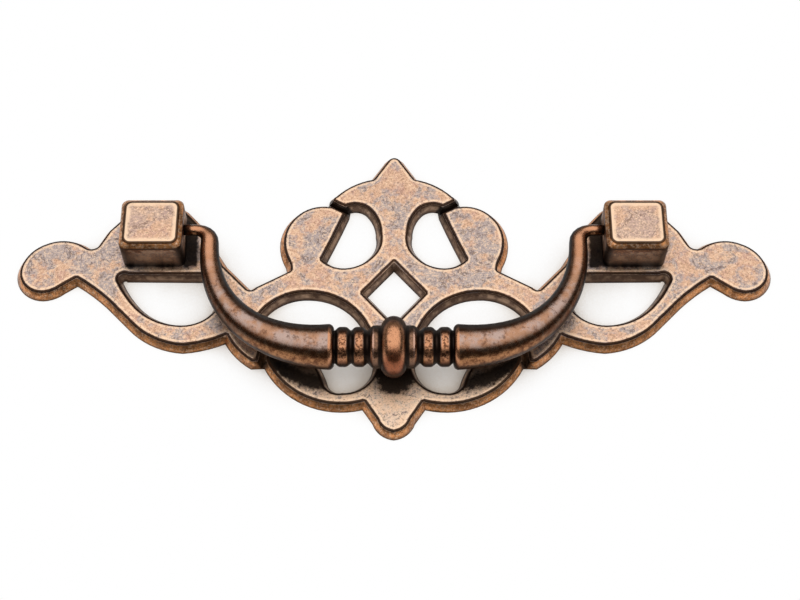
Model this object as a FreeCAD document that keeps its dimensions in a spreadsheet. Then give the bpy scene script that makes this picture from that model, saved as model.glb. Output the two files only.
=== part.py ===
import FreeCAD, Part
import Sketcher
import math
import os

# Bail pull for a drawer: an openwork cast plate, two square posts riveted through it, and a
# turned bail that swings in the posts. The drawer front is the plane z = 0, +z points out of
# the drawer, and the bail hangs towards -y. Everything is in millimetres.

os.makedirs("parts", exist_ok=True)
doc = FreeCAD.newDocument("bail_pull")
sheet = doc.addObject("Spreadsheet::Sheet", "sizes")

# Driving dimensions: name, value, what it measures
SIZES = [
    ("post_spacing", 96.0, "between the axes of the two posts"),
    ("plate_thick", 2.2, "back of the plate to its face"),
    ("plate_slope", 26.0, "degrees that the plate's walls lean out towards the back"),
    ("top_reach", 20.2, "posts' line to the tip of the upper finial"),
    ("bottom_reach", 41.3, "posts' line to the tip of the lower finial"),
    ("side_reach", 26.6, "post's axis to the end of the side arm"),
    ("post_wide", 12.4, "along the line of the posts"),
    ("post_deep", 11.2, "across the line of the posts"),
    ("post_tall", 8.1, "plate's face to the top of the post"),
    ("post_bevel", 1.05, "bevel round the post's top"),
    ("post_corner", 1.4, "rounding of the post's upright corners"),
    ("spigot_dia", 6.4, "riveted spigot under the post"),
    ("spigot_gap", 0.1, "between the spigot and its hole, on the radius"),
    ("rivet_lip", 0.6, "how far the spigot's end is spread"),
    ("screw_hole", 3.3, "tapping size of the fixing screw's hole"),
    ("screw_depth", 6.4, "depth of that hole from the back of the plate"),
    ("pin_high", 4.9, "plate's face to the axis of the bail's pins"),
    ("pin_dia", 2.0, "pins at the ends of the bail"),
    ("pin_gap", 0.05, "between the pin and its hole, on the radius"),
    ("pin_reach", 3.6, "how far a pin enters its post"),
    ("neck_gap", 0.35, "between the post and the neck of the bail"),
    ("neck_step", 0.1, "step from the pin to the neck, on the radius"),
    ("bail_drop", 26.6, "pin axis to the axis of the turned grip"),
    ("bail_inset", 11.5, "post's axis to the middle of the bail's arm"),
    ("bail_bend", 3.0, "radius of the bend at the pin"),
    ("arm_thin", 3.6, "diameter of the arm below the bend"),
    ("arm_thick", 8.8, "diameter of the arm at the grip"),
    ("grip_half", 12.3, "middle of the grip to the shoulder of the arm"),
    ("bead_dia", 11.9, "bead in the middle of the grip"),
    ("bead_half", 2.4, "half the width of the bead"),
    ("collar_dia", 8.3, "collars beside the bead"),
    ("collar_wide", 1.6, "flat of a collar"),
    ("collar_fall", 0.9, "sloped side of a collar, along the grip"),
    ("ring_dia", 7.7, "turned rings of the grip"),
    ("ring_slope", 0.7, "sloped side of a ring, along the grip"),
    ("groove_dia", 6.4, "grooves between the rings"),
    ("groove_wide", 0.2, "flat bottom of a groove"),
    ("shoulder_wide", 1.1, "last groove and the rounded shoulder of the arm"),
    ("rest_gap", 0.15, "air between the resting bead and the plate's face"),
]
RINGS_EACH_SIDE = 2
# Places closer than this are the same place
SAME = 1e-6
for row, (name, value, note) in enumerate(SIZES, start=1):
    sheet.set(f"A{row}", name)
    sheet.set(f"B{row}", str(value))
    sheet.set(f"C{row}", note)
    sheet.setAlias(f"B{row}", name)
doc.recompute()


def size(name):
    return float(sheet.get(name))


def at_centre(x, y):
    """A point of the plate's middle, from the middle of the line of the posts."""
    return FreeCAD.Vector(x, y, 0)


def at_post(x, y):
    """A point of the plate's side arm, from the axis of the right post."""
    return FreeCAD.Vector(size("post_spacing") / 2 + x, y, 0)


def draw(sketch, start, steps, flip=False):
    """Draws a run of lines and three-point arcs; flip draws its mirror image in x = 0."""
    def place(point):
        return FreeCAD.Vector(-point.x, point.y, 0) if flip else point

    here = start
    for step in steps:
        if len(step) == 1:
            sketch.addGeometry(Part.LineSegment(place(here), place(step[0])))
        else:
            sketch.addGeometry(Part.Arc(place(here), place(step[0]), place(step[1])))
        here = step[-1]


def new_body(name):
    body = doc.addObject("PartDesign::Body", name)
    body.Label = name
    return body


def new_sketch(body, name, plane="XY_Plane", place=None, turn=None):
    sketch = body.newObject("Sketcher::SketchObject", name)
    origin_plane = next(part for part in body.Origin.OriginFeatures if part.Role == plane)
    sketch.AttachmentSupport = [(origin_plane, "")]
    sketch.MapMode = "FlatFace"
    rotation = turn if turn else FreeCAD.Rotation()
    sketch.AttachmentOffset = FreeCAD.Placement(place if place else FreeCAD.Vector(), rotation)
    return sketch


def new_feature(body, kind, name, sketch):
    feature = body.newObject("PartDesign::" + kind, name)
    feature.Profile = sketch
    return feature


# The plate's outline and windows, right half, at the level of its face

def outline():
    tip = size("top_reach")
    foot = -size("bottom_reach")
    side = size("side_reach")
    start = at_centre(0, tip)
    steps = [
        (at_centre(0.75, tip - 0.27), at_centre(1.25, tip - 0.9)),
        (at_centre(4.15, 14.93),),
        # crescent below the upper finial
        (at_centre(8.05, 13.6), at_centre(11.8, 10.75)),
        (at_centre(12.25, 10.25), at_centre(12.2, 9.9)),
        (at_centre(13.0, 8.3),),
        # lobe
        (at_centre(16.4, 8.15), at_centre(19.16, 6.66)),
        (at_centre(21.4, 3.6), at_centre(22.06, 0.08)),
        (at_centre(21.7, -2.2), at_centre(20.9, -4.2)),
        (at_centre(20.55, -5.4), at_centre(20.54, -6.49)),
        # strap to the side arm
        (at_centre(27.4, -10.3),),
        (at_centre(28.6, -10.95), at_centre(29.6, -10.45)),
        (at_post(-13.57, -5.35),),
        (at_post(-10.7, -0.7), at_post(-7.79, 4.5)),
        # pad under the post
        (at_post(-5.17, 7.4),),
        (at_post(0.6, 9.2), at_post(5.6, 7.1)),
        (at_post(9.51, 2.65),),
        (at_post(11.2, -0.5),),
        (at_post(12.6, -1.55), at_post(14.3, -1.1)),
        # side finial
        (at_post(side / 2 + 4.9, 0.3), at_post(side - 4.6, -0.4)),
        (at_post(side - 1.2, -3.1), at_post(side, -6.4)),
        (at_post(side - 1.2, -9.7), at_post(side - 4.7, -11.26)),
        (at_post(side - 6.4, -10.9), at_post(side - 8.2, -9.79)),
        (at_post(side / 2 + 2.05, -7.75),),
        # outer edge of the side arm
        (at_post(11.4, -10.5), at_post(8.2, -13.28)),
        (at_post(3.6, -18.0),),
        (at_post(-0.6, -21.2), at_post(-6.65, -22.9)),
        (at_post(-11.1, -22.1), at_post(-15.3, -20.5)),
        (at_post(-17.5, -23.8), at_post(-20.4, -26.3)),
        (at_centre(24.6, -26.2),),
        # lower strap
        (at_centre(22.0, -30.15), at_centre(17.0, -33.95)),
        (at_centre(11.6, -35.45), at_centre(5.6, -34.85)),
        # lower finial
        (at_centre(3.1, foot + 2.7),),
        (at_centre(1.75, foot + 0.72), at_centre(0, foot)),
    ]
    return start, steps


def upper_window():
    start = at_centre(9.93, 8.8)
    steps = [
        (at_centre(7.2, 9.25), at_centre(4.92, 8.09)),
        (at_centre(3.3, 5.6), at_centre(2.65, 2.2)),
        (at_centre(2.75, -0.6), at_centre(4.22, -3.16)),
        (at_centre(6.6, -5.1), at_centre(9.8, -6.0)),
        (at_centre(12.5, -5.5), at_centre(14.75, -3.85)),
        (at_centre(12.65, 0.9), at_centre(10.2, 6.9)),
        (start,),
    ]
    return start, steps


def great_window():
    start = at_centre(26.9, -16.4)
    steps = [
        (at_centre(22.6, -12.4), at_centre(16.7, -11.1)),
        (at_centre(10.6, -12.75), at_centre(5.08, -18.75)),
        (at_centre(3.2, -23.5), at_centre(3.2, -28.2)),
        (at_centre(5.3, -31.8), at_centre(10.0, -33.5)),
        (at_centre(12.3, -33.1), at_centre(13.7, -31.6)),
        (at_centre(16.8, -25.4), at_centre(22.0, -21.0)),
        (start,),
    ]
    return start, steps


def half_moon_window():
    start = at_post(5.0, -6.98)
    steps = [
        (at_post(-11.0, -7.1),),
        (at_post(-13.5, -11.2), at_post(-12.7, -15.6)),
        (at_post(-10.2, -17.8), at_post(-6.2, -18.84)),
        (at_post(-1.2, -17.8), at_post(3.2, -14.7)),
        (at_post(5.6, -11.6), at_post(6.95, -9.2)),
        (at_post(7.1, -7.5), start),
    ]
    return start, steps


def diamond_window():
    corners = [at_centre(0, -4.0), at_centre(6.6, -11.5), at_centre(0, -19.0), at_centre(-6.6, -11.5)]
    return corners[0], [(corner,) for corner in corners[1:] + corners[:1]]


# Valleys that part two straps on the face and close before the back: mouth, inner end, half width
VALLEYS = [
    (at_centre(13.9, 9.95), at_centre(9.0, 7.3), 0.85),
    (at_centre(25.85, -27.6), at_centre(24.6, -19.4), 0.95),
]
# How far a valley's profile rises past the plate's face
VALLEY_OVER = 1.0


def bind(sketch, kind, value, expression, *places):
    """Adds one dimension to a sketch and ties it to the sheet."""
    index = sketch.addConstraint(Sketcher.Constraint(kind, *places, value))
    sketch.setExpression(f"Constraints[{index}]", expression)


def add_circle(sketch, expression, x=0.0, y=0.0):
    centre = FreeCAD.Vector(x, y, 0)
    shape = sketch.addGeometry(Part.Circle(centre, FreeCAD.Vector(0, 0, 1), 1.0))
    bind(sketch, "Diameter", 2.0, expression, shape)


def polygon(sketch, points):
    for index, (x, y) in enumerate(points):
        next_x, next_y = points[(index + 1) % len(points)]
        sketch.addGeometry(Part.LineSegment(FreeCAD.Vector(x, y, 0), FreeCAD.Vector(next_x, next_y, 0)))


def edges_where(feature, test):
    """Names of the edges whose two ends and middle all pass a test."""
    names = []
    for index, edge in enumerate(feature.Shape.Edges, start=1):
        middle = edge.valueAt((edge.FirstParameter + edge.LastParameter) / 2)
        if all(test(point) for point in [middle] + [vertex.Point for vertex in edge.Vertexes]):
            names.append(f"Edge{index}")
    return names


def dress(body, kind, name, edges, size_name, base):
    """Rounds or bevels edges of the base feature by a size of the sheet."""
    feature = body.newObject("PartDesign::" + kind, name)
    feature.Base = (base, edges)
    feature.setExpression("Radius" if kind == "Fillet" else "Size", "sizes." + size_name)
    return feature


def cut_valley(body, index, mouth, inner, half_width):
    """Cuts a V between two straps, along the line from its mouth to its inner end."""
    run = inner - mouth
    depth = half_width / math.tan(math.radians(size("plate_slope")))
    turn = FreeCAD.Rotation(FreeCAD.Vector(0, 0, 1), math.degrees(math.atan2(run.y, run.x)))
    # the profile's plane stands across the run: its own x is across, its own y is up
    across, up, along = FreeCAD.Vector(0, 1, 0), FreeCAD.Vector(0, 0, 1), FreeCAD.Vector(1, 0, 0)
    upright = FreeCAD.Rotation(across, up, along, "ZXY")
    place = FreeCAD.Vector(mouth.x, mouth.y, size("plate_thick"))
    profile = new_sketch(body, f"valley_profile_{index}", place=place, turn=turn.multiply(upright))
    wide = half_width * (depth + VALLEY_OVER) / depth
    polygon(profile, [(0, -depth), (wide, VALLEY_OVER), (-wide, VALLEY_OVER)])
    cut = new_feature(body, "Pocket", f"valley_{index}", profile)
    cut.Length = run.Length
    cut.Reversed = True


def make_plate():
    body = new_body("backplate")
    face_level = FreeCAD.Vector(0, 0, size("plate_thick"))
    outer = new_sketch(body, "plate_outline", place=face_level)
    outer.setExpression("AttachmentOffset.Base.z", "sizes.plate_thick")
    for flip in (False, True):
        draw(outer, *outline(), flip)
    pad = new_feature(body, "Pad", "plate_pad", outer)
    pad.setExpression("Length", "sizes.plate_thick")
    pad.setExpression("TaperAngle", "sizes.plate_slope")
    pad.Reversed = True

    windows = new_sketch(body, "plate_windows", place=face_level)
    windows.setExpression("AttachmentOffset.Base.z", "sizes.plate_thick")
    for window in (upper_window, great_window, half_moon_window):
        for flip in (False, True):
            draw(windows, *window(), flip)
    draw(windows, *diamond_window())
    cut = new_feature(body, "Pocket", "plate_window_cut", windows)
    cut.setExpression("Length", "sizes.plate_thick")
    cut.setExpression("TaperAngle", "-sizes.plate_slope")
    doc.recompute()

    for index, (mouth, inner, half_width) in enumerate(VALLEYS):
        for flip in (1, -1):
            near = FreeCAD.Vector(flip * mouth.x, mouth.y, 0)
            far = FreeCAD.Vector(flip * inner.x, inner.y, 0)
            cut_valley(body, f"{index}{'r' if flip == 1 else 'l'}", near, far, half_width)
    doc.recompute()

    # round holes for the posts' spigots, opened at the back for their spread ends
    for side, name in ((-1, "left"), (1, "right")):
        hole = new_sketch(body, f"spigot_hole_{name}")
        hole.setExpression("AttachmentOffset.Base.x", f"{side} * sizes.post_spacing / 2")
        add_circle(hole, "sizes.spigot_dia + 2 * sizes.spigot_gap")
        drill = new_feature(body, "Pocket", f"spigot_drill_{name}", hole)
        drill.Type = "ThroughAll"
        drill.Reversed = True
    doc.recompute()
    at_back = [
        f"Edge{index}" for index, edge in enumerate(body.Tip.Shape.Edges, start=1)
        if hasattr(edge.Curve, "Radius") and abs(edge.BoundBox.ZMax) < SAME
        and abs(edge.Curve.Radius - size("spigot_dia") / 2 - size("spigot_gap")) < SAME
    ]
    dress(body, "Chamfer", "rivet_seat", at_back, "rivet_lip", body.Tip)
    doc.recompute()
    return body


def upright_edges(block):
    """Names of a block's edges that run up and down."""
    return [
        f"Edge{index}" for index, edge in enumerate(block.Shape.Edges, start=1)
        if abs(edge.tangentAt(edge.FirstParameter).z) > 0.5
    ]


def make_post(side, name):
    body = new_body("post_" + name)
    across = f"{side} * sizes.post_spacing / 2"
    block = new_sketch(body, "block_" + name)
    block.setExpression("AttachmentOffset.Base.x", across)
    block.setExpression("AttachmentOffset.Base.z", "sizes.plate_thick")
    wide = size("post_wide") / 2
    deep = size("post_deep") / 2
    polygon(block, [(-wide, -deep), (wide, -deep), (wide, deep), (-wide, deep)])
    pad = new_feature(body, "Pad", "block_pad_" + name, block)
    pad.setExpression("Length", "sizes.post_tall")
    doc.recompute()
    base = size("plate_thick")
    top = base + size("post_tall")
    corners = dress(body, "Fillet", "corners_" + name, upright_edges(pad), "post_corner", pad)
    doc.recompute()
    rim = edges_where(corners, lambda point: abs(point.z - top) < SAME)
    dress(body, "Chamfer", "bevel_" + name, rim, "post_bevel", corners)
    doc.recompute()

    # riveted spigot, its end spread into the seat at the plate's back
    spigot = new_sketch(body, "spigot_" + name, plane="XZ_Plane")
    spigot.setExpression("AttachmentOffset.Base.x", across)
    radius = size("spigot_dia") / 2
    lip = size("rivet_lip")
    back = size("spigot_gap")
    polygon(spigot, [(0, back), (radius + lip - back, back), (radius, lip), (radius, base), (0, base)])
    turned = new_feature(body, "Revolution", "spigot_turn_" + name, spigot)
    turned.ReferenceAxis = (spigot, ["V_Axis"])
    turned.Angle = 360

    # blind tapping hole for the fixing screw, from the back
    screw = new_sketch(body, "screw_" + name)
    screw.setExpression("AttachmentOffset.Base.x", across)
    add_circle(screw, "sizes.screw_hole")
    bore = new_feature(body, "Pocket", "screw_bore_" + name, screw)
    bore.setExpression("Length", "sizes.screw_depth")
    bore.Reversed = True

    # blind hole for the bail's pin, in the face that looks at the other post
    pin = new_sketch(body, "pin_" + name, plane="YZ_Plane")
    pin.setExpression("AttachmentOffset.Base.y", "sizes.plate_thick + sizes.pin_high")
    pin.setExpression("AttachmentOffset.Base.z", f"{side} * (sizes.post_spacing - sizes.post_wide) / 2")
    add_circle(pin, "sizes.pin_dia + 2 * sizes.pin_gap")
    socket = new_feature(body, "Pocket", "pin_socket_" + name, pin)
    socket.setExpression("Length", "sizes.pin_reach + 3 * sizes.pin_gap")
    socket.Reversed = side > 0
    doc.recompute()
    return body


# The arm's curve: shares of its fall and of its run over which it keeps its first and last way
ARM_FALL = 0.64
ARM_RUN = 0.58
# The arm's diameter grows with this power of the way along it
ARM_SWELL = 1.2
# Straight spans of the loft along the bend at the pin and along the arm
BEND_SPANS = 6
ARM_SPANS = 20


def arm_line(share):
    """Middle of the bail's arm, from the end of the bend (0) to the grip (1), and its direction."""
    arm_x = size("post_spacing") / 2 - size("bail_inset")
    first = FreeCAD.Vector(arm_x, -size("bail_bend"), 0)
    last = FreeCAD.Vector(size("grip_half"), -size("bail_drop"), 0)
    down = FreeCAD.Vector(0, ARM_FALL * (last.y - first.y), 0)
    inward = FreeCAD.Vector(ARM_RUN * (first.x - last.x), 0, 0)
    points = [first, first + down, last + inward, last]
    rest = 1 - share
    weights = [rest ** 3, 3 * share * rest ** 2, 3 * share ** 2 * rest, share ** 3]
    place = sum((point * weight for point, weight in zip(points, weights)), FreeCAD.Vector())
    slopes = [rest ** 2, 2 * share * rest, share ** 2]
    legs = [points[index + 1] - points[index] for index in range(3)]
    return place, sum((leg * slope for leg, slope in zip(legs, slopes)), FreeCAD.Vector())


def arm_stations():
    """Sections of the arm from its neck at the post to the grip: place, direction, diameter."""
    bend = size("bail_bend")
    arm_x = size("post_spacing") / 2 - size("bail_inset")
    neck_x = (size("post_spacing") - size("post_wide")) / 2 - size("neck_gap")
    neck = "(sizes.pin_dia + 2 * sizes.neck_step)"
    stations = [(FreeCAD.Vector(neck_x, 0, 0), FreeCAD.Vector(-1, 0, 0), neck)]
    for step in range(BEND_SPANS + 1):
        angle = math.pi / 2 * step / BEND_SPANS
        place = FreeCAD.Vector(arm_x + bend - bend * math.sin(angle), -bend + bend * math.cos(angle), 0)
        along = FreeCAD.Vector(-math.cos(angle), -math.sin(angle), 0)
        swell = math.sin(angle) ** 2
        stations.append((place, along, f"{neck} + (sizes.arm_thin - {neck}) * {swell:.4f}"))
    for step in range(1, ARM_SPANS + 1):
        place, along = arm_line(step / ARM_SPANS)
        swell = (step / ARM_SPANS) ** ARM_SWELL
        stations.append((place, along, f"sizes.arm_thin + (sizes.arm_thick - sizes.arm_thin) * {swell:.4f}"))
    return stations


def round_corner(start, end, corner):
    """An arc's step from start to end, bulging towards the corner as a quarter circle does."""
    pull = 1 - math.sqrt(0.5)
    middle = tuple(c + pull * (s + e - 2 * c) for s, e, c in zip(start, end, corner))
    return middle, end


def grip_profile():
    """Right half of the turned grip, from the side of the bead to the shoulder of the arm."""
    collar = size("collar_dia") / 2
    ring = size("ring_dia") / 2
    slope = size("ring_slope")
    groove = size("groove_dia") / 2
    arm = size("arm_thick") / 2
    end = size("grip_half")
    collar_end = size("bead_half") + size("collar_wide")
    rings_start = collar_end + size("collar_fall")
    rings_end = end - size("shoulder_wide")
    flat = size("groove_wide")
    pitch = (rings_end - rings_start) / RINGS_EACH_SIDE
    steps = [((collar_end, collar),), ((rings_start, groove),)]
    for index in range(RINGS_EACH_SIDE):
        left = rings_start + index * pitch + flat
        right = rings_start + (index + 1) * pitch
        steps += [((left, groove),), ((left + slope, ring),), ((right - slope, ring),), ((right, groove),)]
    last_groove = rings_end + flat
    steps += [
        ((last_groove, groove),),
        round_corner((last_groove, groove), (end, arm), (last_groove, arm)),
        ((end, 0),),
    ]
    return (size("bead_half"), collar), steps


def make_bail():
    body = new_body("bail")
    bail_drop = size("bail_drop")
    grip = new_sketch(body, "grip_profile")
    grip.setExpression("AttachmentOffset.Base.y", "-sizes.bail_drop")
    start, steps = grip_profile()
    steps = [tuple(FreeCAD.Vector(x, y, 0) for x, y in step) for step in steps]
    right = FreeCAD.Vector(*start, 0)
    left = FreeCAD.Vector(-right.x, right.y, 0)
    draw(grip, left, [(FreeCAD.Vector(0, size("bead_dia") / 2, 0), right)])
    for flip in (False, True):
        draw(grip, right, steps, flip)
    end = FreeCAD.Vector(size("grip_half"), 0, 0)
    draw(grip, -end, [(end,)])
    turned = new_feature(body, "Revolution", "grip_turn", grip)
    turned.ReferenceAxis = (grip, ["H_Axis"])
    turned.Angle = 360

    sections = []
    for index, (place, along, diameter) in enumerate(arm_stations()):
        up = FreeCAD.Vector(0, 0, 1)
        turn = FreeCAD.Rotation(up, along.cross(up), along, "ZXY")
        section = new_sketch(body, f"arm_section_{index}", place=place, turn=turn)
        add_circle(section, diameter)
        sections.append(section)
    arm = new_feature(body, "AdditiveLoft", "arm_loft", sections[0])
    arm.Sections = sections[1:]
    arm.Ruled = True
    doc.recompute()

    pin = new_sketch(body, "pin_circle", plane="YZ_Plane")
    neck_place = "(sizes.post_spacing - sizes.post_wide) / 2 - sizes.neck_gap"
    pin.setExpression("AttachmentOffset.Base.z", neck_place)
    add_circle(pin, "sizes.pin_dia")
    stub = new_feature(body, "Pad", "pin_pad", pin)
    stub.setExpression("Length", "sizes.pin_reach + sizes.neck_gap")
    doc.recompute()

    other = body.newObject("PartDesign::Mirrored", "other_arm")
    other.Originals = [arm, stub]
    mirror = next(part for part in body.Origin.OriginFeatures if part.Role == "YZ_Plane")
    other.MirrorPlane = (mirror, [""])
    body.Tip = other

    # the bail is drawn flat and tipped about its pins until the bead lies on the plate
    rise = size("bead_dia") / 2 + size("rest_gap") - size("pin_high")
    tip = FreeCAD.Rotation(FreeCAD.Vector(1, 0, 0), -math.degrees(math.asin(rise / bail_drop)))
    body.Placement = FreeCAD.Placement(FreeCAD.Vector(0, 0, size("plate_thick") + size("pin_high")), tip)
    doc.recompute()
    return body


bodies = [make_plate(), make_post(-1, "left"), make_post(1, "right"), make_bail()]
doc.recompute()

for obj in doc.Objects:
    if "Invalid" in obj.State or "Error" in obj.State:
        raise RuntimeError(f"{obj.Name} did not build: {obj.getStatusString()}")
for body in bodies:
    shape = body.Shape
    if shape.isNull() or not shape.isValid() or len(shape.Solids) != 1:
        raise RuntimeError(f"{body.Label} is not one valid solid")
for body in bodies:
    body.Shape.exportStep(f"parts/{body.Label}.step")
    box = body.Shape.BoundBox
    print(f"{body.Label}: {body.Shape.Volume:.1f} mm3, x {box.XMin:.1f} to {box.XMax:.1f}, "
          f"y {box.YMin:.1f} to {box.YMax:.1f}, z {box.ZMin:.2f} to {box.ZMax:.2f}")
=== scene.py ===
import functools
import math

import bmesh
import bpy
import numpy as np
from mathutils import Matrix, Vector, geometry, kdtree


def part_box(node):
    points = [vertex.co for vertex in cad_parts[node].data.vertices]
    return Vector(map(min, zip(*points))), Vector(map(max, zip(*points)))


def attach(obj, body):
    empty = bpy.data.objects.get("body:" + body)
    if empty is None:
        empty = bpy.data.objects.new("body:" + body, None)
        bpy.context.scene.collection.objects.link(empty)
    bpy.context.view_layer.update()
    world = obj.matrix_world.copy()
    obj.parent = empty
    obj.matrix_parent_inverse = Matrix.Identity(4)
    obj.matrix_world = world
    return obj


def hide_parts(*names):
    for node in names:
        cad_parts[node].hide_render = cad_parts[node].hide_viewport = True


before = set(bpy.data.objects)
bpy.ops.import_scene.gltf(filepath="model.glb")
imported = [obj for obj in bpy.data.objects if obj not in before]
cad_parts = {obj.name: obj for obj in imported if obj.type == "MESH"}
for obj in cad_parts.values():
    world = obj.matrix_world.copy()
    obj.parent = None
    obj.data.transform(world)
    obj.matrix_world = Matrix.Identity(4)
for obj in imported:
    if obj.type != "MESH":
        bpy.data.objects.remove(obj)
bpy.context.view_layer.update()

bl_info = {
    "name": "Bail Pull Finish",
    "version": (1, 0, 0),
    "blender": (4, 5, 0),
    "location": "View3D > Sidebar > Bail Pull",
    "description": "Dresses a cast bail pull in antique copper and sets its studio",
    "category": "Object",
}

MM = 0.001
# Metres within which two levels, and two points, are the same
SAME_LEVEL = 0.01 * MM
SAME_POINT = 0.001 * MM
# Metres between doubled points of a CAD mesh that are joined
WELD = 0.0005 * MM

# From the frame, in metres: the plate's face and the right post's middle, width and depth
FACE_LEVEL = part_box("backplate")[1].z
POST_LOW, POST_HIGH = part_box("post_right")
POST_AXIS = (POST_LOW.x + POST_HIGH.x) / 2
POST_WIDE = POST_HIGH.x - POST_LOW.x
POST_DEEP = POST_HIGH.y - POST_LOW.y
# The bead reaches the bail's box below, above and in front, which gives its radius and its axis
BAIL_LOW, BAIL_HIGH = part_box("bail")
BEAD_RADIUS = (BAIL_HIGH.z - BAIL_LOW.z) / 2
GRIP_AXIS = Vector((0, BAIL_LOW.y + BEAD_RADIUS, BAIL_LOW.z + BEAD_RADIUS))
GRIP_Y = GRIP_AXIS.y / MM
GRIP_Z = GRIP_AXIS.z / MM

# From here on, millimetres that the frame's boxes don't give. The posts: the bevel round the top,
# the radius of the upright corners and that of the top's corners
POST_BEVEL = 1.05
POST_CORNER = 1.4
TOP_CORNER = 1.25
# Rings from the foot of a post's bevel to its flat top: how far in, how far below the top, corner
# radius
TOP_RINGS = (
    (0.04, 0.93, 1.4), (0.12, 0.82, 1.38), (0.5, 0.43, 1.32), (0.88, 0.12, 1.28), (0.98, 0.05, 1.26),
    (1.12, 0.01, 1.22), (1.4, 0.0, 1.1),
)
# The bail: half the width of the bead and of the grip, half the thickness of the arm at the grip,
# the radii of rings and collars, and the radius and the degrees above which an edge is a crest
BEAD_HALF = 2.4
GRIP_HALF = 12.3
ARM_HALF = 4.4
RING_RADIUS = 3.85
COLLAR_RADIUS = 4.15
CREST_LOW = 3.5
CREST_ANGLE = 20
# Where a neck's painted light sets in, measured across, and where an arm grows warmer, along y
NECK = (37.0, 38.5)
UPPER_ARM = (-15.0, -3.0)
# The plate: degrees that its walls lean out, the two ends of the valleys between the straps, how far
# a valley reaches from its middle line, and the share of its length that it starts before its mouth
WALL_SLOPE = 26
VALLEYS = (((13.9, 9.95), (9.0, 7.3)), ((25.85, -27.6), (24.6, -19.4)))
VALLEY_REACH = 1.3
VALLEY_START = -0.1
# Where the painted light on the lower lobes grows, along y
LOWER_LOBES = (-26.0, -31.0)
# Grime and painted shade on the plate: how far the darkening round a post, grime with painted contact
# shade, is shifted towards the bail and upwards, how far the painted shadow under the bead lies below
# the grip, and how much of the arm has a painted shadow beside it, across and along y
POST_GRIME_AND_SHADE = (1.5, 0.8)
BEAD_SHADOW = 2.5
ARM_SHADOW = (12.0, 24.0)
ARM_SHADOW_TOP = (-19.0, -22.0)
# How fast the arm's lower edge rises towards the post, per millimetre squared
ARM_RISE = 0.035
# Rows of points beside the face's edge: their spacing, and their distances from the edge
ROW_STEP = 0.45
ROW_GAPS = (0.14, 0.3, 0.46, 0.7, 1.0)
# Share of its own distance that a row's point keeps from every edge, the cells that a point of the
# grid keeps from it, and the height of a row of the grid in cells
ROW_CLEAR = 0.93
GRID_CLEAR = 1.6
GRID_ROW = 0.866
# Side of the squares of which each takes no more than one point of the face
CROWDING = 0.12
# Spacing of the search points along the plate's edges
SEARCH_STEP = 0.1

# The finish: how metallic it is, its roughness on the castings and on the bail, and the relief of the
# grain on both, in millimetres
METAL = 0.94
CAST_ROUGHNESS = 0.36
BAIL_ROUGHNESS = 0.27
CAST_RELIEF = 0.07
BAIL_RELIEF = 0.04

# The stage in millimetres: how far the floor lies under the plate's back, how far from the pull it
# is darker, and the width of the camera's sensor
FLOOR_DROP = 0.02
FLOOR_SHADE = 12
SENSOR_WIDTH = 36
# The stage in metres: half the floor's side, the softbox's sides and place, and the camera's nearest
# sight
FLOOR_HALF = 3.0
SOFTBOX_SIDES = (1.7, 1.3)
SOFTBOX_PLACE = (0, 0.2, 0.6)
NEAREST_SIGHT = 0.01
# Colour and strength of the light from all round
SURROUNDINGS = (1.0, 0.98, 0.96, 1.0)
SURROUNDINGS_STRENGTH = 0.06


def srgb(code):
    """Linear red, green and blue of a colour that is written as six hex digits."""
    parts = [int(code[i:i + 2], 16) / 255 for i in (0, 2, 4)]
    return tuple(c / 12.92 if c <= 0.04045 else ((c + 0.055) / 1.055) ** 2.4 for c in parts)


def colour(name, code, description):
    """A colour property from six hex digits."""
    return bpy.props.FloatVectorProperty(
        name=name, description=description, default=srgb(code), size=3, min=0, max=1,
        subtype="COLOR")


def length(name, millimetres, description):
    """A length property, given in millimetres and kept in metres."""
    return bpy.props.FloatProperty(
        name=name, description=description, default=millimetres * MM, unit="LENGTH", precision=5)


class PullColours(bpy.types.PropertyGroup):
    tan: colour("Tan", "d4ab8e", "Main copper of the faces")
    lilac: colour("Grey lilac", "aba09e", "Grey patches on the faces")
    rose: colour("Rose", "c9a08c", "Pink patches on the faces")
    peach: colour("Peach", "f7d5b4", "Worn line along the edges")
    speckle: colour("Speckle", "54392a", "Brown specks and stain lines")
    # the next colour is partly patina and partly a painted dark reflection on the rounded edges
    edge: colour("Edge line", "341f12", "Dark line on the rounded edges")
    wall: colour("Wall", "e09a62", "Outer walls and bevels")
    # the next colour is mostly painted shade and painted shadows, with some grime
    soot_and_shade: colour("Soot", "17100d", "Grooves, undersides and the foot of the walls")
    umber: colour("Umber", "715848", "Walls that polishing didn't reach")
    # the next colour is partly a painted highlight in the middle of the windows' walls
    drab: colour("Drab", "b4957c", "Lighter middle of the windows' walls, and the collars")
    # the next colour is partly a painted highlight along the bail's crown
    salmon: colour("Salmon", "b98a6c", "Polished top of the bail")
    russet: colour("Russet", "643f2a", "Sides of the bail")
    amber: colour("Amber", "cc916c", "Bead and shoulders of the grip")
    # the next colour is painted shade on the lower side of the bead
    bead_shade: colour("Rust", "9a5c40", "Lower side of the bead")
    # the next colour is partly painted light: the copper's warm glow in the floor's shade
    floor: colour("Floor", "d8c0a2", "Floor under the pull")


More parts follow.
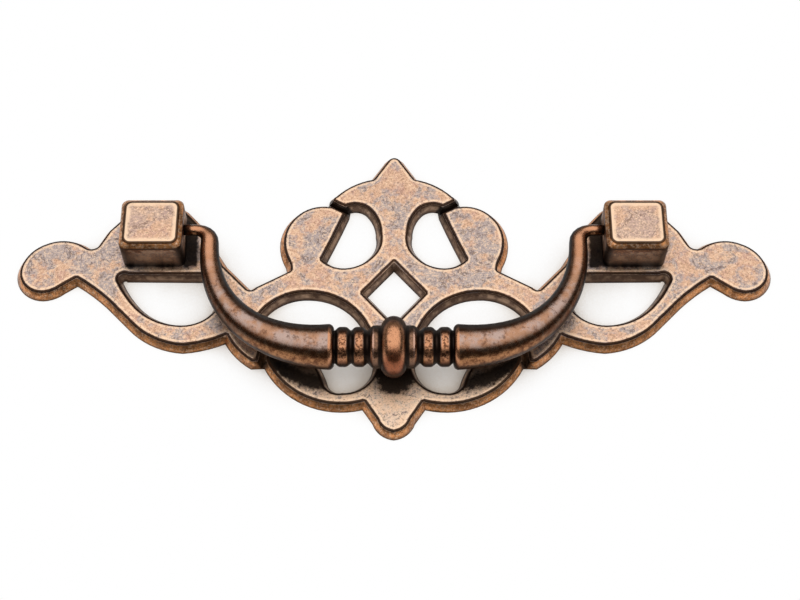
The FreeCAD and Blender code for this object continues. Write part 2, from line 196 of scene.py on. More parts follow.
class PullSizes(bpy.types.PropertyGroup):
    edge_round: length("Edge rounding", 0.45, "How far the plate's edges are rounded into its face")
    edge_drop: length("Edge drop", 0.16, "How far the face falls at its very edge")
    cell: length("Face cell", 0.8, "Spacing of the points across the plate's face")
    ring_round: length("Ring rounding", 0.34, "Rounding of the crests on the turned grip")
    distance: length("Camera distance", 330, "Camera to the point that it looks at")
    target_x: length("Target across", 1.2, "Point that the camera looks at, across")
    target_y: length("Target along", -12, "Point that the camera looks at, along")
    elevation: bpy.props.FloatProperty(
        name="Camera elevation", description="Camera above the plate's plane",
        default=math.radians(62), unit="ROTATION")
    lens: bpy.props.FloatProperty(
        name="Lens", description="Focal length on a 36 mm sensor", default=74.45, unit="CAMERA")
    softbox_power: bpy.props.FloatProperty(
        name="Softbox", description="Power of the large lamp overhead", default=8.6, unit="POWER")


class Link:
    """A shader socket that Python expressions can work with: each operation adds a Math node."""

    def __init__(self, shader, socket):
        self.shader = shader
        self.socket = socket

    def math(self, operation, *values):
        return self.shader.add("ShaderNodeMath", {"operation": operation}, dict(enumerate(values)))

    def __add__(self, other):
        return self.math("ADD", self, other)

    __radd__ = __add__

    def __mul__(self, other):
        return self.math("MULTIPLY", self, other)

    def __sub__(self, other):
        return self.math("SUBTRACT", self, other)

    def __rsub__(self, other):
        return self.math("SUBTRACT", other, self)

    def __pow__(self, other):
        return self.math("POWER", self, other)

    def __abs__(self):
        return self.math("ABSOLUTE", self)

    def least(self, other):
        return self.math("MINIMUM", self, other)

    def most(self, other):
        return self.math("MAXIMUM", self, other)

    def ramp(self, low, high):
        """0 at low, 1 at high and smooth between; low may be the larger of the two."""
        settings = {"interpolation_type": "SMOOTHSTEP", "clamp": True}
        ends = (low, high, 0.0, 1.0) if low < high else (high, low, 1.0, 0.0)
        return self.shader.add("ShaderNodeMapRange", settings, dict(enumerate((self, *ends))))

    def band(self, low, high, soft):
        """1 between low and high, falling to 0 over soft on both sides."""
        return self.ramp(low - soft, low) * self.ramp(high + soft, high)


class Shader:
    """Builds one material out of nodes."""

    def __init__(self, name):
        self.material = bpy.data.materials.new(name)
        self.material.use_nodes = True
        self.tree = self.material.node_tree
        self.surface = self.tree.nodes["Principled BSDF"]

    def add(self, kind, settings, values, output=0):
        """Adds a node: first its settings, then the values or links of its sockets."""
        node = self.tree.nodes.new(kind)
        for name, value in settings.items():
            setattr(node, name, value)
        for name, value in values.items():
            if isinstance(value, Link):
                self.tree.links.new(value.socket, node.inputs[name])
            else:
                node.inputs[name].default_value = value
        return Link(self, node.outputs[output])

    @functools.cached_property
    def place(self):
        """The point of the surface, in millimetres of the object's own frame."""
        metres = self.add("ShaderNodeTexCoord", {}, {}, "Object")
        values = {0: metres, "Scale": 1 / MM}
        return self.add("ShaderNodeVectorMath", {"operation": "SCALE"}, values)

    def axes(self, vector):
        """The x, y and z of a vector."""
        first = self.add("ShaderNodeSeparateXYZ", {}, {0: vector})
        return [Link(self, output) for output in first.socket.node.outputs]

    def mix(self, share, first, second):
        """The first colour, or the second where share is 1."""
        ends = [c if isinstance(c, Link) else (*c, 1.0) for c in (first, second)]
        values = {0: share, 6: ends[0], 7: ends[1]}
        return self.add("ShaderNodeMix", {"data_type": "RGBA", "clamp_factor": True}, values, 2)

    def noise(self, per_mm, detail=3.0, roughness=0.55, shift=0.0, distortion=0.0):
        """Even noise from 0 to 1 with this many features in a millimetre."""
        ends = {0: self.place, 1: (shift,) * 3}
        moved = self.add("ShaderNodeVectorMath", {"operation": "ADD"}, ends)
        values = {"Vector": moved, "Scale": per_mm, "Detail": detail, "Roughness": roughness,
                  "Distortion": distortion}
        return self.add("ShaderNodeTexNoise", {}, values)

    def layer(self, name):
        """The value that a piece's mesh holds under this name."""
        return self.add("ShaderNodeAttribute", {"attribute_name": name}, {}, "Fac")

    def finish(self, base, metallic, roughness, height, relief):
        """Links what varies over the surface into the shader; relief is in millimetres."""
        values = {"Height": height, "Distance": relief * MM, "Strength": 1.0}
        bump = self.add("ShaderNodeBump", {}, values)
        links = {"Base Color": base, "Metallic": metallic, "Roughness": roughness, "Normal": bump}
        for name, value in links.items():
            self.tree.links.new(value.socket, self.surface.inputs[name])
        return self.material


def mottled_copper(shader, colours, grey):
    """A polished antique face, with this share of grey in its patches, and what its relief needs."""
    patches = shader.noise(0.17, detail=5.0, roughness=0.6, distortion=0.5)
    clouds = shader.noise(0.5, detail=5.0, roughness=0.7, shift=31.0)
    grain = shader.noise(1.9, detail=4.0, roughness=0.75, shift=57.0)
    pits = shader.noise(3.1, detail=3.0, roughness=0.7, shift=83.0)
    face = shader.mix(clouds.ramp(0.43, 0.6), colours.tan, colours.rose)
    face = shader.mix((patches + (clouds - 0.5) * 0.6).ramp(0.44, 0.58) * grey, face, colours.lilac)
    face = shader.mix(grain.ramp(0.48, 0.62) * 0.65, face, colours.peach)
    # brown specks, and thin stain lines where the patches' noise crosses one level
    specks = pits.ramp(0.55, 0.64).most(grain.ramp(0.45, 0.35))
    rings = abs(patches - 0.56).ramp(0.014, 0.004) * clouds.ramp(0.44, 0.5)
    marks = (specks * 0.85).most(rings)
    return shader.mix(marks * 0.6, face, colours.speckle), marks, grain, pits


def plate_grime_and_shadow(x, y, streaks, grain):
    """Grime and painted contact shade round the posts; painted shadows where bead and arms lie over
    the plate.
    """
    # round each post: grime with painted contact shade
    aside = abs(abs(x) - POST_AXIS / MM + POST_GRIME_AND_SHADE[0]) - POST_WIDE / 2 / MM
    ahead = abs(y - POST_GRIME_AND_SHADE[1]) - POST_DEEP / 2 / MM
    grime_and_shadow = (aside.most(ahead) + (streaks - 0.5) * 2.4).ramp(1.5, 0.6)
    # painted shadow under the bead
    bead_gap = ((x * 1.1) ** 2.0 + (y - GRIP_Y + BEAD_SHADOW) ** 2.0) ** 0.5
    below_grip = y.ramp(GRIP_Y + 2.0, GRIP_Y - 2.5)
    grime_and_shadow = grime_and_shadow.most((bead_gap + (streaks - grain) * 3.6).ramp(5.4, 3.9) * below_grip)
    # painted shadow in a crescent below each arm
    arm_edge = GRIP_Y - ARM_HALF + (abs(x) - GRIP_HALF).most(0.0) ** 2.0 * ARM_RISE
    arm_gap = arm_edge - y + (grain - streaks) * 2.4
    crescent = arm_gap.ramp(2.9, 1.3) * arm_gap.ramp(-3.4, -0.6)
    return grime_and_shadow.most(crescent * abs(x).band(*ARM_SHADOW, 1.6) * y.ramp(*ARM_SHADOW_TOP))


def plate_walls(shader, colours, rim, streaks, grain, pits):
    """The walls' copper, brighter outside than in the windows, and painted shade at the foot and in
    the valleys.
    """
    outer = shader.mix(streaks.ramp(0.42, 0.6) * 0.55, colours.wall, colours.russet)
    outer = shader.mix(grain.ramp(0.5, 0.62) * 0.5, outer, colours.peach)
    outer = shader.mix(pits.ramp(0.5, 0.6) * 0.55, outer, colours.speckle)
    # painted highlight: a lighter band down the middle of the windows' walls
    middle = rim.band(-1.35, -0.85, 0.4) * streaks.ramp(0.4, 0.6)
    inner = shader.mix(middle, colours.umber, colours.drab)
    wall = shader.mix(shader.layer("window"), outer, inner)
    # painted shade at the foot of the walls and in the valleys between the straps
    foot = (rim + (streaks - 0.5) * 0.9).ramp(-1.6, -2.3)
    dark = (foot * 0.9).most(shader.layer("valley") * 0.95)
    return shader.mix(dark, wall, colours.soot_and_shade), foot


def plate_material(colours):
    """The plate's copper. Its layer rim is the distance in from the edge, and below 0 down a wall."""
    shader = Shader("plate_copper")
    face, marks, grain, pits = mottled_copper(shader, colours, 0.85)
    x, y, _ = shader.axes(shader.place)
    rim = shader.layer("rim")
    streaks = shader.noise(0.5, detail=4.0, shift=11.0)
    worn = rim.band(0.46, 0.72, 0.16) * grain.ramp(0.34, 0.5)
    face = shader.mix(worn * 0.75, face, colours.peach)
    # painted light: the lower lobes are brightened towards peach
    face = shader.mix(y.ramp(*LOWER_LOBES) * (1 - marks) * 0.6, face, colours.peach)
    # painted shadows and shade, with grime round the posts, in the dark soot colour
    grime_and_shadow = plate_grime_and_shadow(x, y, streaks, grain)
    face = shader.mix(grime_and_shadow * 0.96, face, colours.soot_and_shade)
    wall, foot = plate_walls(shader, colours, rim, streaks, grain, pits)
    base = shader.mix(rim.ramp(-0.2, -0.4), face, wall)
    # the dark line on the rounded edge is partly patina and partly a painted dark reflection
    line = (rim + (streaks - 0.5) * 0.2).band(-0.15, 0.25, 0.12)
    base = shader.mix(line * 0.94, base, colours.edge)
    dark = line.most(foot).most(marks * 0.6).most(grime_and_shadow)
    # the windows' walls see little but each other, so more of their colour is plain
    metallic = METAL - shader.layer("window") * rim.ramp(-0.3, -0.5) * 0.35
    roughness = CAST_ROUGHNESS + dark * 0.14 + (grain - 0.5) * 0.3
    return shader.finish(base, metallic, roughness, grain * 0.6 + pits * 0.4, CAST_RELIEF)


def post_sides(shader, colours, depth, corner, streaks, pits):
    """The posts' upright sides, with painted shade that darkens them towards the foot and the
    corners.
    """
    wobble = streaks - 0.5
    side = shader.mix((depth + wobble * 3.0).ramp(1.6, 3.4), colours.russet, colours.umber)
    side = shader.mix(streaks.ramp(0.5, 0.62) * 0.5, side, colours.drab)
    side = shader.mix(pits.ramp(0.52, 0.62) * 0.4, side, colours.wall)
    # painted shade towards the foot and at the corners
    soot_and_shade = (depth + wobble * 2.0).ramp(5.0, 7.6).most(corner.ramp(0.2, 1.6) * 0.85)
    return shader.mix(soot_and_shade, side, colours.soot_and_shade)


def post_material(colours):
    """The posts' copper: a mottled top in a worn line, a bevel, and darker sides."""
    shader = Shader("post_copper")
    face, marks, grain, pits = mottled_copper(shader, colours, 0.4)
    x, y, z = shader.axes(shader.place)
    # how far a point is inside the top's rounded outline; further in it stays at the corners' radius
    from_side = POST_WIDE / 2 / MM - POST_BEVEL - abs(abs(x) - POST_AXIS / MM)
    from_front = POST_DEEP / 2 / MM - POST_BEVEL - abs(y)
    beyond = [(TOP_CORNER - way).most(0.0) ** 2.0 for way in (from_side, from_front)]
    inside = TOP_CORNER - (beyond[0] + beyond[1]) ** 0.5
    depth = POST_HIGH.z / MM - z
    streaks = shader.noise(0.5, detail=4.0, shift=23.0)
    worn = (inside + (streaks - 0.5) * 0.8 + (grain - 0.5) * 1.6).ramp(1.1, 0.5)
    face = shader.mix(worn * 0.85, face, colours.peach)
    bevel = shader.mix(streaks.ramp(0.38, 0.58) * 0.75, colours.wall, colours.russet)
    bevel = shader.mix(grain.ramp(0.48, 0.6) * 0.6, bevel, colours.peach)
    corner = (TOP_CORNER - from_side).least(TOP_CORNER - from_front)
    side = post_sides(shader, colours, depth, corner, streaks, pits)
    base = shader.mix(inside.ramp(0.02, -0.12), face, bevel)
    base = shader.mix(depth.ramp(POST_BEVEL - 0.05, POST_BEVEL + 0.2), base, side)
    # the dark lines round the top and below the bevel are partly patina and partly a painted dark
    # reflection
    line = inside.band(-0.3, 0.12, 0.1) * depth.ramp(0.65, 0.4)
    line = line.most(depth.band(POST_BEVEL - 0.1, POST_BEVEL + 0.35, 0.15))
    base = shader.mix(line * 0.9, base, colours.edge)
    dark = line.most(depth.ramp(POST_BEVEL, POST_BEVEL + 1.0)).most(marks * 0.6)
    roughness = CAST_ROUGHNESS + dark * 0.12 + (grain - 0.5) * 0.3
    metallic = METAL - streaks * 0.04
    return shader.finish(base, metallic, roughness, grain * 0.6 + pits * 0.4, CAST_RELIEF)


def arm_copper(shader, colours, crown, along, upper, noises):
    """The bail's arms: polish and a painted highlight on top, painted shade in brown at the sides,
    warmer towards the posts.
    """
    clouds, grain, scratches = noises
    polished_highlight = shader.mix(clouds.ramp(0.4, 0.6) * 0.6, colours.salmon, colours.lilac)
    polished_highlight = shader.mix(grain.ramp(0.53, 0.66) * 0.5, polished_highlight, colours.rose)
    polished_highlight = shader.mix(scratches.ramp(0.48, 0.34) * 0.65, polished_highlight, colours.speckle)
    polished_highlight = shader.mix(upper * 0.6, polished_highlight, colours.amber)
    sides = shader.mix(scratches.ramp(0.42, 0.6), colours.russet, colours.umber)
    # painted reflection of the pale floor on the sides that face the bail's free side
    glint = along.ramp(-0.62, -0.8) * scratches.ramp(0.36, 0.64)
    sides = shader.mix(glint * 0.5, sides, colours.wall)
    # polish with a painted highlight where the crown faces up and out; painted shade in browner
    # copper at the sides
    base = shader.mix(crown.ramp(0.85, 1.02), sides, polished_highlight)
    return shader.mix(upper * crown.ramp(0.6, 0.95) * 0.7, base, colours.amber)


def grip_copper(shader, colours, base, across, radius, crown, flank, along, grain):
    """Lays the turned grip over the arms' copper: rings, collars, bead and shoulders."""
    grip = across.ramp(GRIP_HALF + 0.2, GRIP_HALF)
    crest = shader.mix(grain.ramp(0.42, 0.56), colours.russet, colours.amber)
    # painted shade on the crests' sides that turn away
    crest = shader.mix(flank.ramp(0.9, 0.6), crest, colours.russet)
    on_ring = radius.ramp(RING_RADIUS - 0.11, RING_RADIUS - 0.01)
    base = shader.mix(grip * on_ring, base, crest)
    on_collar = radius.ramp(COLLAR_RADIUS - 0.15, COLLAR_RADIUS - 0.05)
    collar = across.band(BEAD_HALF, BEAD_HALF + 1.7, 0.1) * on_collar
    base = shader.mix(collar * 0.7, base, colours.umber)
    # painted highlight on the collars' outer rims where they face up and out
    rim = across.ramp(BEAD_HALF + 1.2, BEAD_HALF + 1.5) * crown.ramp(0.5, 0.9)
    base = shader.mix(collar * rim, base, colours.rose)
    bead = across.ramp(BEAD_HALF + 0.15, BEAD_HALF - 0.15) * radius.ramp(4.3, 4.6)
    # painted shade: the bead's side towards the free side takes the darker, redder colour
    bead_copper = shader.mix(along.ramp(-0.3, -0.75), colours.amber, colours.bead_shade)
    bead_copper = shader.mix(grain.ramp(0.5, 0.38) * 0.6, bead_copper, colours.speckle)
    base = shader.mix(bead, base, bead_copper)
    shoulder = across.band(GRIP_HALF - 0.5, GRIP_HALF, 0.25) * radius.ramp(4.0, 4.25)
    # painted highlight on the shoulders' rims where they face up
    base = shader.mix(shoulder * 0.85 * crown.ramp(0.3, 0.7), base, colours.amber)
    # painted shade in the grooves and beside the bead
    groove = grip * radius.ramp(RING_RADIUS - 0.05, RING_RADIUS - 0.25)
    beside_bead = across.band(BEAD_HALF - 0.1, BEAD_HALF + 0.4, 0.4) * radius.ramp(5.2, 4.5)
    return base, groove.most(beside_bead)


def bail_material(colours):
    """Copper, partly polish and partly painted highlight on the outer side, with painted shade in the
    grooves, on turned-away sides and underneath.
    """
    shader = Shader("bail_copper")
    x, y, z = shader.axes(shader.place)
    _, along, up = shader.axes(shader.add("ShaderNodeTexCoord", {}, {}, "Normal"))
    radius = ((y - GRIP_Y) ** 2.0 + (z - GRIP_Z) ** 2.0) ** 0.5
    across = abs(x)
    clouds = shader.noise(0.3, detail=4.0, roughness=0.6)
    grain = shader.noise(1.9, detail=4.0, roughness=0.75, shift=41.0)
    scratches = shader.noise(0.8, detail=5.0, roughness=0.7, shift=67.0)

    def leaning(degrees):
        """How far a surface faces a way that leans from straight out to the bail's free side."""
        angle = math.radians(degrees)
        return up * math.cos(angle) - along * math.sin(angle)

    crown = leaning(8) + (clouds - 0.5) * 0.2
    flank = leaning(28) + (clouds - 0.5) * 0.2
    # the arms' upper ends grow warmer towards the posts, and the necks get painted light
    upper = y.ramp(*UPPER_ARM)
    base = arm_copper(shader, colours, crown, along, upper, (clouds, grain, scratches))
    base, groove = grip_copper(shader, colours, base, across, radius, crown, flank, along, grain)
    # painted shade: the sides that turn away are near black, and the side towards the plate is dull
    # brown
    turned = flank.ramp(0.7, 0.4).most(along.ramp(0.25, 0.6) * 0.9)
    turned = turned * (1 - up.ramp(0.1, -0.5) * 0.45)
    # painted light on the necks: less of the painted shade where they face up
    turned = turned * (1 - across.ramp(*NECK) * up.ramp(0.2, 0.6) * 0.7)
    bail_shade = groove.most(turned)
    base = shader.mix(bail_shade * 0.94, base, colours.soot_and_shade)
    roughness = BAIL_ROUGHNESS + bail_shade * 0.2 + (grain - 0.5) * 0.22
    metallic = METAL + 0.02 - clouds * 0.04
    return shader.finish(base, metallic, roughness, grain * 0.6 + scratches * 0.4, BAIL_RELIEF)


def floor_material(colours):
    """White to the camera and to reflections, but darker where the pull stands close over it."""
    shader = Shader("pale_floor")
    # the floor's beige is painted light: the copper's warm glow in the floor's shade
    shader.surface.inputs["Base Color"].default_value = (*colours.floor, 1.0)
    shader.surface.inputs["Roughness"].default_value = 0.9
    shader.surface.inputs["Specular IOR Level"].default_value = 0.0
    path = shader.add("ShaderNodeLightPath", {}, {})
    camera, glossy, through = [
        Link(shader, path.socket.node.outputs[f"Is {kind} Ray"])
        for kind in ("Camera", "Glossy", "Transmission")
    ]
    values = {"Distance": FLOOR_SHADE * MM}
    openness = shader.add("ShaderNodeAmbientOcclusion", {"samples": 8}, values, "AO")
    # near the pull, ambient occlusion shows more of the lit floor: painted shade on top of its real
    # shadow
    share = camera.most(glossy).most(through) * openness.ramp(0.25, 0.8)
    glow = shader.add("ShaderNodeEmission", {}, {"Strength": 1.0})
    surface = Link(shader, shader.surface.outputs[0])
    blend = shader.add("ShaderNodeMixShader", {}, {0: share, 1: surface, 2: glow})
    output = shader.tree.nodes["Material Output"]
    shader.tree.links.new(blend.socket, output.inputs["Surface"])
    return shader.material


def welded(node):
    """A bmesh of a CAD node with its doubled points joined."""
    mesh = bmesh.new()
    mesh.from_mesh(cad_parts[node].data)
    bmesh.ops.remove_doubles(mesh, verts=mesh.verts, dist=WELD)
    mesh.normal_update()
    return mesh


def make_piece(name, mesh, material, body, node, sharp=40):
    """Turns a bmesh into a smooth-shaded piece that stands for a CAD node."""
    data = bpy.data.meshes.new(name)
    mesh.to_mesh(data)
    mesh.free()
    data.polygons.foreach_set("use_smooth", [True] * len(data.polygons))
    data.set_sharp_from_angle(angle=math.radians(sharp))
    data.materials.append(material)
    piece = bpy.data.objects.new(name, data)
    bpy.context.scene.collection.objects.link(piece)
    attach(piece, body)
    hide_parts(node)
    return piece


def flat_loops(mesh, level, way):
    """The plate's flat faces at a level, up or down, and their edges as closed loops of points."""
    tops = [
        face for face in mesh.faces
        if face.normal.z * way > 0.999 and abs(face.calc_center_median().z - level) < SAME_LEVEL
    ]
    top_set = set(tops)
    following = {}
    for edge in mesh.edges:
        on_top = [face for face in edge.link_faces if face in top_set]
        if len(on_top) == 1:
            for a, b in (edge.verts, reversed(edge.verts)):
                following.setdefault(a, []).append(b)
    loops = []
    left = set(following)
    while left:
        start = min(left, key=lambda v: v.index)
        loop, before, here = [start], None, start
        while True:
            ahead = [v for v in following[here] if v is not before]
            before, here = here, ahead[0]
            if here is start:
                break
            loop.append(here)
        loops.append(loop)
        left -= set(loop)
    return tops, loops


def even_odd(points, starts, ends):
    """Which points lie inside the loops that the segments from starts to ends make."""
    inside = np.zeros(len(points), bool)
    for (ax, ay), (bx, by) in zip(starts, ends):
        if ay == by:
            continue
        crosses = (points[:, 1] > ay) != (points[:, 1] > by)
        inside ^= crosses & (points[:, 0] < (bx - ax) * (points[:, 1] - ay) / (by - ay) + ax)
    return inside


def edge_tree(loops):
    """A search tree of points along the loops, and the loop that each point is on."""
    points, owners = [], []
    for number, loop in enumerate(loops):
        for a, b in zip(loop, loop[1:] + loop[:1]):
            count = max(1, math.ceil((b.co - a.co).length / (SEARCH_STEP * MM)))
            points += [a.co.lerp(b.co, i / count) for i in range(count)]
            owners += [number] * count
    tree = kdtree.KDTree(len(points))
    for index, point in enumerate(points):
        tree.insert((point.x, point.y, 0), index)
    tree.balance()
    return tree, owners


def wanted_points(starts, ends, cell):
    """Points of a grid and of rows beside the edges, each with the gap that it needs to the edge."""
    low, high = starts.min(0), starts.max(0)
    rows = np.arange(low[1], high[1], cell * GRID_ROW)
    columns = np.arange(low[0], high[0], cell)
    grid = [(x + (i % 2) * cell / 2, y) for i, y in enumerate(rows) for x in columns]
    wanted = [(point, cell * GRID_CLEAR) for point in grid]
    for start, end in zip(starts, ends):
        reach = np.linalg.norm(end - start)
        count = math.ceil(reach / ROW_STEP)
        shares = (np.arange(count)[:, None] + 0.5) / count
        aside = (end - start)[::-1] * (-1, 1) / reach
        for away in ROW_GAPS:
            for side in (aside, -aside):
                row = start + shares * (end - start) + side * away
                wanted += [(tuple(point), away * ROW_CLEAR) for point in row]
    return wanted


def dense_face(loops, tree, sizes):
    """Triangles of the plate's face, with rows of points beside its edge and a grid inside."""
    rim = [(v.co.x / MM, v.co.y / MM) for loop in loops for v in loop]
    edges, first = [], 0
    for loop in loops:
        count = len(loop)
        edges += [(first + i, first + (i + 1) % count) for i in range(count)]
        first += count
    starts = np.array([rim[a] for a, _ in edges])
    ends = np.array([rim[b] for _, b in edges])
    wanted = wanted_points(starts, ends, sizes.cell / MM)
    inside = even_odd(np.array([point for point, _ in wanted]), starts, ends)
    kept, taken = [], set()
    for (point, gap), good in zip(wanted, inside):
        square = (round(point[0] / CROWDING), round(point[1] / CROWDING))
        if not good or square in taken:
            continue
        if tree.find((point[0] * MM, point[1] * MM, 0))[2] / MM > gap:
            taken.add(square)
            kept.append(point)
    flat = [Vector(point) for point in rim + kept]
    points, _, faces, *_ = geometry.delaunay_2d_cdt(flat, edges, [], 0, 1e-6)
    centres = [sum((points[i] for i in face), Vector((0, 0))) / 3 for face in faces]
    good = even_odd(np.array(centres), starts, ends)
    return points, [face for face, keep in zip(faces, good) if keep]


def in_valley(place):
    """Whether a point, in millimetres, lies in one of the valleys between the straps."""
    here = Vector((abs(place.x), place.y))
    for mouth, inner in VALLEYS:
        near, share = geometry.intersect_point_line(here, mouth, inner)
        if VALLEY_START < share < 1 and (near.xy - here).length < VALLEY_REACH:
            return True
    return False


def outward(vert):
    """The way, along the plate, that the walls at a vertex face."""
    push = sum((face.normal for face in vert.link_faces if face.normal.z < 0.99), Vector())
    push.z = 0
    return push.normalized() if push.length > 0 else push


def fill_face(mesh, loops, tree, sizes):
    """Fills the plate's open face, and gives each new vertex's distance to the edge."""
    rim = sorted({v for loop in loops for v in loop}, key=lambda v: (v.co.x, v.co.y))
    finder = kdtree.KDTree(len(rim))
    for index, vert in enumerate(rim):
        finder.insert((vert.co.x, vert.co.y, 0), index)
    finder.balance()
    points, triangles = dense_face(loops, tree, sizes)
    corners, gaps = [], {}
    for point in points:
        place = (point.x * MM, point.y * MM, 0)
        _, index, gap = finder.find(place)
        if gap < SAME_POINT:
            corners.append(rim[index])
        else:
            vert = mesh.verts.new((place[0], place[1], FACE_LEVEL))
            gaps[vert] = tree.find(place)[2]
            corners.append(vert)
    for triangle in triangles:
        face = [corners[i] for i in triangle]
        if len(set(face)) == 3 and not mesh.faces.get(face):
            mesh.faces.new(face)
    return gaps


def cast_plate(colours, sizes):
    """The openwork plate with rounded face edges, and the distances that its material reads."""
    mesh = welded("backplate")
    # layers come first: adding one makes every vertex found before it stale
    rim_layer = mesh.verts.layers.float.new("rim")
    window_layer = mesh.verts.layers.float.new("window")
    valley_layer = mesh.verts.layers.float.new("valley")
    tops, loops = flat_loops(mesh, FACE_LEVEL, 1)
    tree, _ = edge_tree(loops)
    # at the back each window is a loop of its own; on the face the valleys open two of them
    _, back_loops = flat_loops(mesh, 0, -1)
    back_tree, owners = edge_tree(back_loops)
    spans = [max(v.co.x for v in loop) - min(v.co.x for v in loop) for loop in back_loops]
    outer = spans.index(max(spans))
    pushes = {vert: outward(vert) for loop in loops for vert in loop}
    bmesh.ops.delete(mesh, geom=tops, context="FACES")
    gaps = fill_face(mesh, loops, tree, sizes)
    slope = math.tan(math.radians(WALL_SLOPE))
    for vert in mesh.verts:
        _, index, _ = back_tree.find((vert.co.x, vert.co.y, 0))
        vert[window_layer] = float(owners[index] != outer)
        vert[valley_layer] = float(in_valley(vert.co / MM))
        if vert in gaps:
            share = max(0.0, 1 - gaps[vert] / sizes.edge_round)
            vert[rim_layer] = gaps[vert] / MM
            vert.co.z -= sizes.edge_drop * share ** 2
        else:
            vert[rim_layer] = (vert.co.z - FACE_LEVEL) / MM
            if vert in pushes:
                vert.co.z -= sizes.edge_drop
                vert.co += pushes[vert] * sizes.edge_drop * slope
    bmesh.ops.recalc_face_normals(mesh, faces=mesh.faces)
    material = plate_material(colours)
    return make_piece("plate_casting", mesh, material, "plate", "backplate")


def rounded_place(vert, middle):
    """The quarter of a post that a corner point is in, and how far round the corner it is."""
    over_x, over_y = abs(vert.co.x - middle), abs(vert.co.y)
    core_x, core_y = POST_WIDE / 2 - POST_CORNER * MM, POST_DEEP / 2 - POST_CORNER * MM
    turn = math.atan2(max(0, over_y - core_y), max(0, over_x - core_x))
    return math.copysign(1, vert.co.x - middle), math.copysign(1, vert.co.y), turn


def cast_post(side, material):
    """A post whose bevel and top are drawn anew, with soft edges and round corners."""
    mesh = welded("post_" + side)
    foot = POST_HIGH.z - POST_BEVEL * MM
    above = [face for face in mesh.faces if face.calc_center_median().z > foot + SAME_LEVEL]
    bmesh.ops.delete(mesh, geom=above, context="FACES")
    middle = POST_AXIS if side == "right" else -POST_AXIS
    open_ends = {vert for edge in mesh.edges if len(edge.link_faces) == 1 for vert in edge.verts}
    ring = sorted(open_ends, key=lambda vert: math.atan2(vert.co.y, vert.co.x - middle))
    places = [rounded_place(vert, middle) for vert in ring]
    for inset, drop, corner in TOP_RINGS:
        core_x = POST_WIDE / 2 - (inset + corner) * MM
        core_y = POST_DEEP / 2 - (inset + corner) * MM
        following = []
        for right, back, turn in places:
            x = middle + right * (core_x + corner * MM * math.cos(turn))
            y = back * (core_y + corner * MM * math.sin(turn))
            following.append(mesh.verts.new((x, y, POST_HIGH.z - drop * MM)))
        for index, vert in enumerate(ring):
            after = (index + 1) % len(ring)
            mesh.faces.new((vert, ring[after], following[after], following[index]))
        ring = following
    mesh.faces.new(ring)
    bmesh.ops.recalc_face_normals(mesh, faces=mesh.faces)
    name = "post_block_" + side
    return make_piece(name, mesh, material, "plate", "post_" + side, sharp=35)


def cast_bail(colours, sizes):
    """The bail with the crests of its rings, collars and shoulders rounded."""
    mesh = welded("bail")
    crests = []
    for edge in mesh.edges:
        radius = min((v.co - GRIP_AXIS).yz.length for v in edge.verts) / MM
        across = max(abs(v.co.x) for v in edge.verts) / MM
        angle = edge.calc_face_angle(0) if len(edge.link_faces) == 2 else 0
        crisp = angle > math.radians(CREST_ANGLE)
        if crisp and edge.is_convex and radius > CREST_LOW and across < GRIP_HALF + 0.2:
            crests.append(edge)
    bmesh.ops.bevel(
        mesh, geom=crests, offset=sizes.ring_round, segments=3, profile=0.5, affect="EDGES",
        clamp_overlap=True)
    material = bail_material(colours)
    return make_piece("bail_casting", mesh, material, "bail", "bail", sharp=50)


def lay_floor(scene, colours):
    """The floor that the pull lies on."""
    half = FLOOR_HALF
    corners = [(-half, -half, 0), (half, -half, 0), (half, half, 0), (-half, half, 0)]
    data = bpy.data.meshes.new("floor")
    data.from_pydata(corners, [], [(0, 1, 2, 3)])
    data.materials.append(floor_material(colours))
    floor = bpy.data.objects.new("floor", data)
    floor.location.z = -FLOOR_DROP * MM
    scene.collection.objects.link(floor)


def hang_lights(scene, sizes):
    """One softbox overhead and faint, plain surroundings."""
    lamp = bpy.data.lights.new("softbox", "AREA")
    lamp.shape = "RECTANGLE"
    lamp.size, lamp.size_y = SOFTBOX_SIDES
    lamp.energy = sizes.softbox_power
    softbox = bpy.data.objects.new("softbox", lamp)
    softbox.location = SOFTBOX_PLACE
    scene.collection.objects.link(softbox)
    world = bpy.data.worlds.new("studio")
    world.use_nodes = True
    surroundings = world.node_tree.nodes["Background"]
    surroundings.inputs["Color"].default_value = SURROUNDINGS
    surroundings.inputs["Strength"].default_value = SURROUNDINGS_STRENGTH
    scene.world = world


def place_camera(scene, sizes):
    """The camera where the photographer stood."""
    camera = bpy.data.objects.new("camera", bpy.data.cameras.new("camera"))
    camera.data.lens = sizes.lens
    camera.data.sensor_width = SENSOR_WIDTH
    camera.data.clip_start = NEAREST_SIGHT
    back = Vector((0, -math.cos(sizes.elevation), math.sin(sizes.elevation)))
    camera.location = Vector((sizes.target_x, sizes.target_y, 0)) + back * sizes.distance
    camera.rotation_euler = (math.pi / 2 - sizes.elevation, 0, 0)
    scene.collection.objects.link(camera)
    scene.camera = camera
    scene.view_settings.view_transform = "Standard"


class MESH_OT_pull_plate(bpy.types.Operator):
    """Builds the openwork plate over its CAD node"""
    bl_idname = "mesh.pull_plate"
    bl_label = "Openwork Plate"
    bl_options = {"REGISTER", "UNDO"}

    def execute(self, context):
        cast_plate(context.scene.pull_colours, context.scene.pull_sizes)
        return {"FINISHED"}


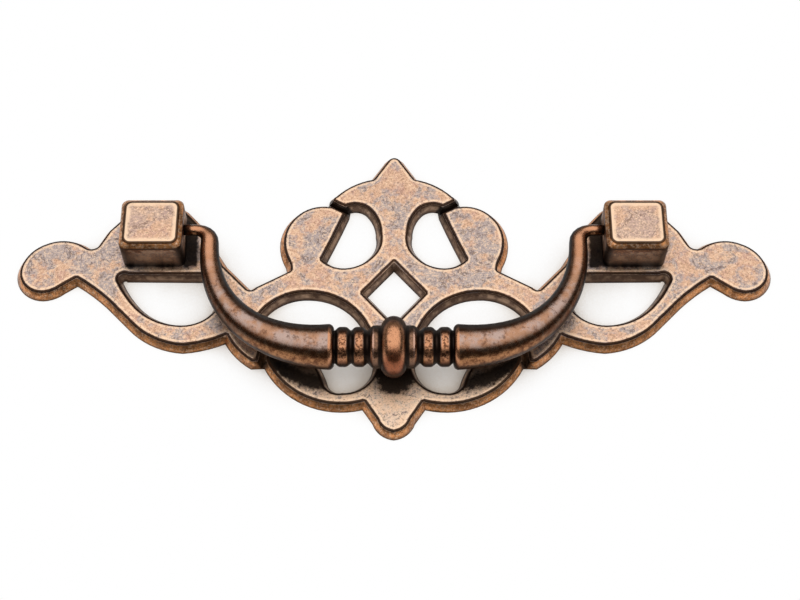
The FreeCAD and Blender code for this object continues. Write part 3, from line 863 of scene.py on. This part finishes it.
class MESH_OT_pull_posts(bpy.types.Operator):
    """Builds the two square posts over their CAD nodes"""
    bl_idname = "mesh.pull_posts"
    bl_label = "Posts"
    bl_options = {"REGISTER", "UNDO"}

    def execute(self, context):
        material = post_material(context.scene.pull_colours)
        for side in ("left", "right"):
            cast_post(side, material)
        return {"FINISHED"}


class MESH_OT_pull_bail(bpy.types.Operator):
    """Builds the turned bail over its CAD node"""
    bl_idname = "mesh.pull_bail"
    bl_label = "Bail"
    bl_options = {"REGISTER", "UNDO"}

    def execute(self, context):
        cast_bail(context.scene.pull_colours, context.scene.pull_sizes)
        return {"FINISHED"}


class SCENE_OT_pull_stage(bpy.types.Operator):
    """Sets the floor, the softbox, the surroundings and the camera"""
    bl_idname = "scene.pull_stage"
    bl_label = "Stage"
    bl_options = {"REGISTER", "UNDO"}

    def execute(self, context):
        scene = context.scene
        lay_floor(scene, scene.pull_colours)
        hang_lights(scene, scene.pull_sizes)
        place_camera(scene, scene.pull_sizes)
        return {"FINISHED"}


OPERATORS = (MESH_OT_pull_plate, MESH_OT_pull_posts, MESH_OT_pull_bail, SCENE_OT_pull_stage)


class VIEW3D_PT_pull(bpy.types.Panel):
    """Lists the pieces of the pull and their colours and sizes"""
    bl_label = "Bail Pull"
    bl_idname = "VIEW3D_PT_pull"
    bl_space_type = "VIEW_3D"
    bl_region_type = "UI"
    bl_category = "Bail Pull"

    def draw(self, context):
        for group in (context.scene.pull_colours, context.scene.pull_sizes):
            box = self.layout.box()
            for name in group.__annotations__:
                box.prop(group, name)
        for operator in OPERATORS:
            self.layout.operator(operator.bl_idname)


CLASSES = (PullColours, PullSizes, *OPERATORS, VIEW3D_PT_pull)


def register():
    for cls in CLASSES:
        bpy.utils.register_class(cls)
    bpy.types.Scene.pull_colours = bpy.props.PointerProperty(type=PullColours)
    bpy.types.Scene.pull_sizes = bpy.props.PointerProperty(type=PullSizes)


def unregister():
    del bpy.types.Scene.pull_sizes
    del bpy.types.Scene.pull_colours
    for cls in reversed(CLASSES):
        bpy.utils.unregister_class(cls)


def main():
    register()
    bpy.ops.mesh.pull_plate()
    bpy.ops.mesh.pull_posts()
    bpy.ops.mesh.pull_bail()
    bpy.ops.scene.pull_stage()


if __name__ == "__main__":
    main()
